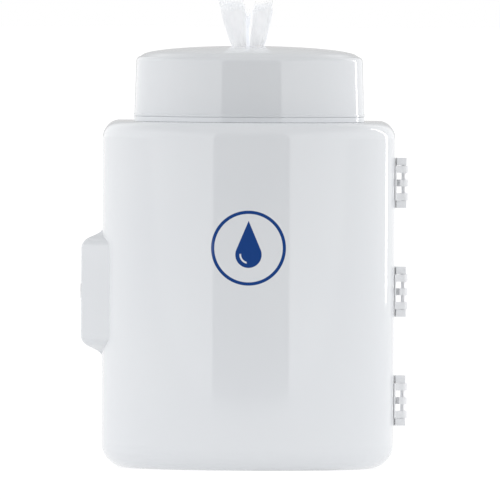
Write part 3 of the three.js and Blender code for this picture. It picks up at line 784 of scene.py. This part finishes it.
def spiral_tree():
    """Lays one thread in flat turns, from an inner to an outer radius, in place of the piece."""
    tree = modifier_tree("turns", [("Turns", "NodeSocketFloat"), ("Inner", "NodeSocketFloat"),
                                   ("Outer", "NodeSocketFloat"), ("Thickness", "NodeSocketFloat"),
                                   ("Place", "NodeSocketVector"), ("Finish", "NodeSocketMaterial")])
    start = geometry_node(tree, "NodeGroupInput")
    spiral = geometry_node(tree, "GeometryNodeCurveSpiral", {
        "Resolution": STEPS_PER_TURN, "Rotations": start.outputs["Turns"], "Height": 0.0,
        "Start Radius": start.outputs["Inner"], "End Radius": start.outputs["Outer"],
    })
    profile = geometry_node(tree, "GeometryNodeCurvePrimitiveCircle",
                            {"Resolution": THREAD_SIDES, "Radius": start.outputs["Thickness"]})
    tube = geometry_node(tree, "GeometryNodeCurveToMesh", {
        "Curve": spiral.outputs[0], "Profile Curve": profile.outputs[0], "Fill Caps": True,
    })
    moved = geometry_node(tree, "GeometryNodeTransform",
                          {"Geometry": tube.outputs[0], "Translation": start.outputs["Place"]})
    return end_tree(tree, start, moved)


ROW = row_tree()
TURNS = spiral_tree()


# Hinges

PIN_LOW, PIN_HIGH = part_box("hinge_pin_3")
PIN_RADIUS = (PIN_HIGH.x - PIN_LOW.x) / 2
HINGE_X = (PIN_HIGH.x + PIN_LOW.x) / 2
HINGE_BASE, HINGE_TOP = PIN_LOW.z, PIN_HIGH.z
HINGE_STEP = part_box("hinge_pin_2")[0].z - PIN_LOW.z
KNUCKLE_RADIUS = 3.4 * MM
END_BLOCK = 5.8 * MM
COVER_KNUCKLE = 5.8 * MM
CENTRE_KNUCKLE = 5.5 * MM
LEAF_THICKNESS = 1.0 * MM
LEAF_INSIDE = CASE_RADIUS + FIT
HOUSING_LEAF_DEPTH, COVER_LEAF_DEPTH = 14 * MM, 8 * MM
WEB_END = HINGE_X - 3 * MM  # where a knuckle's web meets its round end
LUG_SIDE = HINGE_X + 2 * MM
LUG_AHEAD, LUG_BEHIND = 2.4 * MM, 5 * MM
LUG_FOOT, LUG_HEEL = 0.8 * MM, 2 * MM


def knuckle(name, low, high, web_front, web_rear):
    """A knuckle round the pin and the web that joins it to its leaf, as one outline."""
    nose, tail = AXIS_Y - KNUCKLE_RADIUS, AXIS_Y + KNUCKLE_RADIUS
    round_end = arc(HINGE_X, AXIS_Y, KNUCKLE_RADIUS, -90, 90, 14)
    if web_rear > AXIS_Y:
        outline = [(LEAF_INSIDE, web_front), (WEB_END, web_front), (WEB_END, nose), *round_end,
                   (LEAF_INSIDE, web_rear)]
    else:
        outline = [(LEAF_INSIDE, nose), *round_end, (WEB_END, tail), (WEB_END, web_rear),
                   (LEAF_INSIDE, web_rear)]
    return prism(name, outline, low, high, HINGE)


def hinge_row(piece, material):
    """Rounds one hinge's piece a little and repeats it at every hinge."""
    soften(piece, SMALL_ROUND)
    return run_tree(piece, ROW, count=len(HINGE_NODES), step=(0.0, 0.0, HINGE_STEP), finish=material)


def bored(leaf):
    """Cuts the pin's bore through a leaf's knuckles and blocks."""
    bore = upright_bar("bore", HINGE_X, CASE_BOTTOM, CASE_TOP, PIN_RADIUS + FIT, HINGE)
    return combine(leaf, bore, "DIFFERENCE")


def housing_leaves():
    """The housing's leaf of each hinge, with a block at each end and the middle knuckle."""
    front = HOUSING_FRONT + FIT
    rear = front + HOUSING_LEAF_DEPTH
    middle = (HINGE_BASE + HINGE_TOP) / 2
    leaf = block("hinge_housing_leaves", (LEAF_INSIDE, front, HINGE_BASE),
                 (LEAF_INSIDE + LEAF_THICKNESS, rear, HINGE_TOP), HINGE)
    lug = [
        (LEAF_INSIDE, rear), (LEAF_INSIDE, front), (LEAF_INSIDE + LUG_FOOT, front),
        (LEAF_INSIDE + LUG_FOOT, AXIS_Y - LUG_AHEAD), (LUG_SIDE, AXIS_Y - LUG_AHEAD),
        (LUG_SIDE, AXIS_Y + LUG_BEHIND), (LEAF_INSIDE + LUG_HEEL, rear),
    ]
    for low in (HINGE_BASE, HINGE_TOP - END_BLOCK):
        combine(leaf, prism("lug", lug, low, low + END_BLOCK, HINGE), "UNION")
    centre = knuckle("centre", middle - CENTRE_KNUCKLE / 2, middle + CENTRE_KNUCKLE / 2, front,
                     AXIS_Y + KNUCKLE_RADIUS)
    combine(leaf, centre, "UNION")
    return hinge_row(bored(leaf), HINGE)


def cover_leaves():
    """The cover's leaf of each hinge, curved like the case, with two knuckles."""
    rear = COVER_REAR - FIT
    low, high = HINGE_BASE + END_BLOCK + FIT, HINGE_TOP - END_BLOCK - FIT
    turn = math.degrees(math.asin((AXIS_Y - rear + COVER_LEAF_DEPTH) / CASE_RADIUS))
    start = math.degrees(math.asin((AXIS_Y - rear) / CASE_RADIUS))
    inner = arc(0, AXIS_Y, LEAF_INSIDE, -turn, -start, 8)
    outer = arc(0, AXIS_Y, LEAF_INSIDE + LEAF_THICKNESS, -start, -turn, 8)
    leaf = prism("hinge_cover_leaves", inner + outer, low, high, HINGE)
    for z in (low, high - COVER_KNUCKLE):
        combine(leaf, knuckle("knuckle", z, z + COVER_KNUCKLE, AXIS_Y - KNUCKLE_RADIUS, rear), "UNION")
    return hinge_row(bored(leaf), HINGE)


def hinge_pins():
    return hinge_row(upright_bar("hinge_pins", HINGE_X, HINGE_BASE, HINGE_TOP, PIN_RADIUS, PIN), PIN)


# Roll and tray

ROLL_BORE, ROLL_EDGE = 17 * MM, 2 * MM
TURN_PITCH, THREAD_RADIUS = 1.6 * MM, 0.5 * MM
TRAY_WALL, TRAY_FLOOR, TRAY_RIM = 2.5 * MM, 3 * MM, 12 * MM
BRACKET_HALF, BRACKET_THICKNESS, BRACKET_LAP = 60 * MM, 3 * MM, 8 * MM
BRACKET_SINK = 0.2 * MM


def wipes_roll():
    """The roll, with its turns as fine ridges on the top face."""
    edge, outer = ROLL_EDGE, ROLL_HIGH.x
    low, high = ROLL_LOW.z, ROLL_HIGH.z - THREAD_RADIUS
    roll = lathe("roll_body", [
        (ROLL_BORE, low), *arc(outer - edge, low + edge, edge, -90, 0, 5),
        *arc(outer - edge, high - edge, edge, 0, 90, 5), (ROLL_BORE, high),
    ], ROLL_CLOTH)
    turns = mesh_piece("roll_turns", [(0, 0, 0)], [], ROLL_CLOTH)
    inner, last = ROLL_BORE + edge, outer - edge
    run_tree(turns, TURNS, turns=(last - inner) / TURN_PITCH, inner=inner, outer=last,
             thickness=THREAD_RADIUS, place=(0.0, AXIS_Y, high), finish=ROLL_CLOTH)
    return shade(roll), shade(turns)


def roll_tray():
    """The dish under the roll, on a bracket that is screwed to the back wall."""
    low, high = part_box("roll_tray")
    outer = high.x
    inner = outer - TRAY_WALL
    floor_top, rim_top = low.z + TRAY_FLOOR, low.z + TRAY_RIM
    tray = lathe("roll_tray_dish", [
        (0.0, low.z), (outer, low.z), (outer, rim_top), (inner, rim_top), (inner, floor_top),
        (0.0, floor_top),
    ], INNER)
    half = BRACKET_HALF
    shelf = block("shelf", (-half, AXIS_Y + inner - BRACKET_LAP, low.z), (half, high.y, floor_top), INNER)
    inside = upright_bar("inside", 0, floor_top - BRACKET_SINK, rim_top, inner, INNER, 200)
    combine(tray, combine(shelf, inside, "DIFFERENCE"), "UNION")
    upright = block("upright", (-half, high.y - BRACKET_THICKNESS, low.z), (half, high.y, high.z), INNER)
    combine(tray, upright, "UNION")
    return soften(tray, width=0.4 * MM)


# Wipe

NOZZLE_TOP = NOZZLE_HIGH.z
HALF_WIPE, FOLD_STRIP = (0.1, 0.184), (0.017, 0.047)  # cut sizes of the sheets, laid flat
COLUMNS_PER_RUN, SHEET_ROWS = 60, 100
GATHERED_BELOW = 4 * MM
SWAY, CRUMPLE, PLEAT = 0.5 * MM, 0.45 * MM, 0.3 * MM
TOP_RANGE, WIDTH_RANGE, LEAN_RANGE = (0.84, 1.0), (0.68, 1.0), (-2.4, 2.4)  # shares, and millimetres
RAG = 0.05


def smooth_noise(rng, count):
    """A smooth wander: the sum of a few waves with random phases and heights."""
    waves = [(k + 1, rng.uniform(0, 2 * math.pi), rng.uniform(0.5, 1.0) / (k + 1)) for k in range(count)]
    return lambda t: sum(a * math.sin(2 * math.pi * n * t + p) for n, p, a in waves)


def eased(t):
    t = min(max(t, 0.0), 1.0)
    return t * t * (3 - 2 * t)


def wipe_sheet(name, foot, head, foot_width, head_width, depth, height, runs, seed, bottom, material=CLOTH):
    """A torn sheet laid to and fro in runs, gathered at the nozzle and open above it.

    Foot and head are how far right it stands at the nozzle and at its tip, and the widths are halves.
    """
    rng = random.Random(seed)
    columns, rows = COLUMNS_PER_RUN * runs, SHEET_ROWS
    rag, sway, crumple = smooth_noise(rng, 9), smooth_noise(rng, 3), smooth_noise(rng, 5)
    run_top = [rng.uniform(*TOP_RANGE) for _ in range(runs + 1)]
    run_width = [rng.uniform(*WIDTH_RANGE) for _ in range(runs + 1)]
    run_lean = [rng.uniform(*LEAN_RANGE) * MM for _ in range(runs + 1)]
    points, shares = [], []
    for r in range(rows + 1):
        for c in range(columns + 1):
            u = c / columns
            t = runs * u
            run = min(int(t), runs - 1)
            part = eased(t - run)
            tip = mixed(run_top[run], run_top[run + 1], part) * (1 - RAG * rag(2 * u))
            z = mixed(bottom, NOZZLE_TOP + height * tip, r / rows)
            gather = eased((z - bottom) / (NOZZLE_TOP - GATHERED_BELOW - bottom))
            above = max(0.0, (z - NOZZLE_TOP) / height)
            opened = above ** 0.7
            half_width = mixed(mixed(0.85 * foot_width, foot_width, gather), head_width, opened)
            half_width *= mixed(1.0, mixed(run_width[run], run_width[run + 1], part), opened)
            lean = mixed(run_lean[run], run_lean[run + 1], part) * above ** 1.6
            flow = SWAY * sway(0.7 * u + 0.6 * above)
            centre = mixed(mixed(0.6 * foot, foot, gather), head, opened)
            x = centre - half_width * math.cos(math.pi * t) + lean + flow
            half_depth = mixed(mixed(0.8 * depth, 0.7 * depth, gather), depth, opened)
            ripple = (CRUMPLE * crumple(3.1 * u + 0.9 * above)
                      + PLEAT * math.sin(8 * math.pi * t + 2.5 * above))
            points.append((x, AXIS_Y + half_depth * (2 * u - 1) + ripple, z))
            shares.append((u, above / tip))
    faces = []
    for r in range(rows):
        for c in range(columns):
            a = r * (columns + 1) + c
            faces.append((a, a + 1, a + columns + 2, a + columns + 1))
    sheet = mesh_piece(name, points, faces, material)
    layer = sheet.data.uv_layers.new(name="cloth")
    for loop in sheet.data.loops:
        layer.uv[loop.index].vector = shares[loop.vertex_index]
    sheet.data.shade_smooth()
    return sheet


def torn_wipe():
    """The two halves of the wipe, and the narrow fold that stands between them."""
    bottom, inside = TAIL_LOW.z, NOZZLE_TOP - 10 * MM
    left = wipe_sheet("wipe_left", foot=-7.9 * MM, head=-15.6 * MM, foot_width=5.5 * MM, head_width=12 * MM,
                      depth=6 * MM, height=45 * MM, runs=6, seed=4, bottom=bottom)
    right = wipe_sheet("wipe_right", foot=5.4 * MM, head=12.4 * MM, foot_width=5.4 * MM, head_width=9.2 * MM,
                       depth=5.5 * MM, height=43 * MM, runs=6, seed=9, bottom=bottom)
    fold = wipe_sheet("wipe_fold", foot=-1.0 * MM, head=-2.4 * MM, foot_width=1.3 * MM, head_width=1.7 * MM,
                      depth=1.4 * MM, height=36 * MM, runs=3, seed=2, bottom=inside, material=THIN_CLOTH)
    return {left: HALF_WIPE, right: HALF_WIPE, fold: FOLD_STRIP}


# Dressing the frame

def dressed(piece, body, slot, *nodes):
    """Puts a finished piece on its body and hides the CAD nodes that it stands for. The slot is not used."""
    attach(piece, body)
    if nodes:
        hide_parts(*nodes)


def dress_all():
    """Makes every dressed piece, and gives the CAD pieces that stay their materials."""
    cover = front_cover()
    for slot in cover.material_slots:
        slot.material = PRINTED
    dressed(cover, "cover", "shell_plastic", "front_cover")
    dressed(rear_housing(), "housing", "shell_plastic", "rear_housing")
    dressed(top_cap(), "cap", "shell_plastic", "top_cap")
    dressed(nozzle(), "cap", "nozzle_plastic", "nozzle")
    dressed(neck_ring(), "housing", "inner_plastic", "neck_ring")
    dressed(roll_tray(), "housing", "inner_plastic", "roll_tray")
    roll, turns = wipes_roll()
    dressed(roll, "housing", "wipe_cloth", "wipes_roll")
    dressed(turns, "housing", "wipe_cloth")
    dressed(housing_leaves(), "housing", "hinge_plastic", *(f"hinge_housing_leaf_{i}" for i in HINGE_NODES))
    dressed(cover_leaves(), "cover", "hinge_plastic", *(f"hinge_cover_leaf_{i}" for i in HINGE_NODES))
    dressed(hinge_pins(), "housing", "pin_metal", *(f"hinge_pin_{i}" for i in HINGE_NODES))
    for sheet, flat in torn_wipe().items():
        dressed(sheet, "cap", "wipe_cloth", "wipe_tail")
    for name, material in {
        "nozzle_ring": INNER, "bolt_guide": INNER,
        "lock_barrel": LOCK, "latch_bolt": LOCK, "strike_plate": LOCK,
        **{f"neck_screw_{i}": STEEL for i in (1, 2, 3, 4)},
        **{f"{kind}_screw_{i}": STEEL for kind in ("tray", "strike") for i in (1, 2)},
    }.items():
        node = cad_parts[name]
        node.data.materials.clear()
        node.data.materials.append(material)


dress_all()


# Studio

# The photograph's frame, and where the object stands in it
FRAME_PIXELS = 500
MM_PER_PIXEL = 0.8 * MM
CENTRE_PIXEL = 248.5
CASE_TOP_PIXEL = 121.5
ROLL_DEGREES = 0.32
PITCH_DEGREES = 0.9
CAMERA_DISTANCE = 18.0

# Light, as strengths where 1 is white
FLOOR_COLOUR = 0.4
FLOOR_GLOW = 0.6
FLOOR_SEEN = 0.12
FLOOR_FADE = (0.25, 0.9)  # how far in front of the case's middle the table's own light fades
FLOOR_NEAR = (0.12, 0.2)  # and how far it rises to its full level, from a smaller share nearer
FLOOR_NEAR_SHARE = 0.87
FLOOR_AHEAD, FLOOR_BEHIND, FLOOR_ASIDE = 2.4, 60.0, 60.0
SIDE_LEVEL = 1.63
GAP_LEVEL = 0.55
GAP_SEEN = 0.0  # the gap as reflections show it
GAP_DEGREES = (-28, 32.5)
GAP_EDGE = 0.012
TOP_LEVEL = 0.62
TOP_BAND = (0.5, 0.75)
BACK_LEVEL = 1.2
BACK_DEGREES = (95, 125)
REAR_LEVEL = 0.66
REAR_DEGREES = (164, 170)
STRIP_PLACE = (1.04, AXIS_Y + 1.08)
STRIP_WIDTH, STRIP_LOW, STRIP_HIGH = 0.1, -0.031, 1.0
STRIP_WATTS = 1.2


def photo_camera():
    width = FRAME_PIXELS * MM_PER_PIXEL
    data = bpy.data.cameras.new("camera")
    data.sensor_width = 36
    data.lens = data.sensor_width * CAMERA_DISTANCE / width
    data.clip_end = 100
    camera = bpy.data.objects.new("camera", data)
    bpy.context.scene.collection.objects.link(camera)
    middle = FRAME_PIXELS / 2
    target = Vector((
        (middle - CENTRE_PIXEL) * MM_PER_PIXEL, AXIS_Y,
        CASE_TOP - (middle - CASE_TOP_PIXEL) * MM_PER_PIXEL,
    ))
    pitch = math.radians(PITCH_DEGREES)
    camera.location = target + Vector((0, -math.cos(pitch), math.sin(pitch))) * CAMERA_DISTANCE
    turn = (target - camera.location).to_track_quat("-Z", "Y")
    roll = Matrix.Rotation(math.radians(ROLL_DEGREES), 4, "Z")
    camera.matrix_world = Matrix.Translation(camera.location) @ turn.to_matrix().to_4x4() @ roll
    bpy.context.scene.camera = camera


def studio_floor():
    """A white table, part of whose light is its own, so that shadows on it stay soft and pale.

    The light that it gives the object fades far in front of the object and is a little less near it.
    """
    y = AXIS_Y
    front, back = y - FLOOR_AHEAD, y + FLOOR_BEHIND
    points = [(-FLOOR_ASIDE, front, CASE_BOTTOM), (FLOOR_ASIDE, front, CASE_BOTTOM),
              (FLOOR_ASIDE, back, CASE_BOTTOM), (-FLOOR_ASIDE, back, CASE_BOTTOM)]
    material = bpy.data.materials.new("floor")
    tree = Tree(material)
    path = tree.add("ShaderNodeLightPath")
    seen = tree.part(path, "Is Camera Ray").math("MAXIMUM", tree.part(path, "Is Glossy Ray"))
    grey = (FLOOR_COLOUR, FLOOR_COLOUR, FLOOR_COLOUR, 1)
    matt = tree.add("ShaderNodeBsdfDiffuse", None, {"Color": grey})
    ahead = tree.part(tree.add("ShaderNodeSeparateXYZ", None, [tree.place()]), "Y")
    glow_there = (tree.level(ahead, y - FLOOR_FADE[0], y - FLOOR_FADE[1], FLOOR_GLOW, 0.0)
                  * tree.level(ahead, y - FLOOR_NEAR[0], y - FLOOR_NEAR[1], FLOOR_NEAR_SHARE, 1.0))
    strength = seen * (FLOOR_GLOW + FLOOR_SEEN) + (1 - seen) * glow_there
    glow = tree.add("ShaderNodeEmission", None, {"Color": (1, 1, 1, 1), "Strength": strength})
    both = tree.add("ShaderNodeAddShader", None, [matt, glow])
    tree.add("ShaderNodeOutputMaterial", None, {"Surface": both})
    floor = mesh_piece("floor", points, [(0, 1, 2, 3)], material)


def surroundings():
    """White all round, with a darker gap in front, as between two wide softboxes.

    Reflections show the gap black, and the camera sees plain white.
    """
    world = bpy.data.worlds.new("studio")
    bpy.context.scene.world = world
    tree = Tree(world)
    across = tree.add("ShaderNodeSeparateXYZ", None, [tree.place("Generated")])
    along, up = tree.part(across, "Y"), tree.part(across, "Z")
    azimuth = tree.add("ShaderNodeMath", {"operation": "ARCTAN2"}, [across, along * -1])
    left, right = (math.radians(degrees) for degrees in GAP_DEGREES)
    in_gap = (tree.level(azimuth, left - GAP_EDGE, left + GAP_EDGE)
              * tree.level(azimuth, right + GAP_EDGE, right - GAP_EDGE))
    path = tree.add("ShaderNodeLightPath")
    gap_level = GAP_LEVEL + tree.part(path, "Is Glossy Ray") * (GAP_SEEN - GAP_LEVEL)
    level = SIDE_LEVEL + in_gap * (gap_level - SIDE_LEVEL)
    turned = azimuth.math("ABSOLUTE")
    for there, degrees in ((BACK_LEVEL, BACK_DEGREES), (REAR_LEVEL, REAR_DEGREES)):
        behind = tree.level(turned, *(math.radians(degree) for degree in degrees))
        level = level + behind * (there - level)
    above = tree.level(up, *TOP_BAND)
    level = level + above * (TOP_LEVEL - level)
    seen = tree.part(path, "Is Camera Ray").math("MAXIMUM", tree.part(path, "Is Transmission Ray"))
    strength = seen + (1 - seen) * level
    background = tree.add("ShaderNodeBackground", None, {"Color": (1, 1, 1, 1), "Strength": strength})
    tree.add("ShaderNodeOutputWorld", None, {"Surface": background})


def strip_lamp():
    """A narrow upright lamp behind the object's right, reflected as the bright line down the case."""
    data = bpy.data.lights.new("strip", "AREA")
    data.shape = "RECTANGLE"
    data.size, data.size_y = STRIP_WIDTH, STRIP_HIGH - STRIP_LOW
    data.energy = STRIP_WATTS
    lamp = bpy.data.objects.new("strip", data)
    bpy.context.scene.collection.objects.link(lamp)
    place = Vector((*STRIP_PLACE, (STRIP_LOW + STRIP_HIGH) / 2))
    facing = Vector((0, AXIS_Y, place.z)) - place
    lamp.matrix_world = Matrix.Translation(place) @ facing.to_track_quat("-Z", "Y").to_matrix().to_4x4()
    lamp.visible_camera = False


photo_camera()
studio_floor()
strip_lamp()
surroundings()
bpy.context.scene.view_settings.view_transform = "Standard"
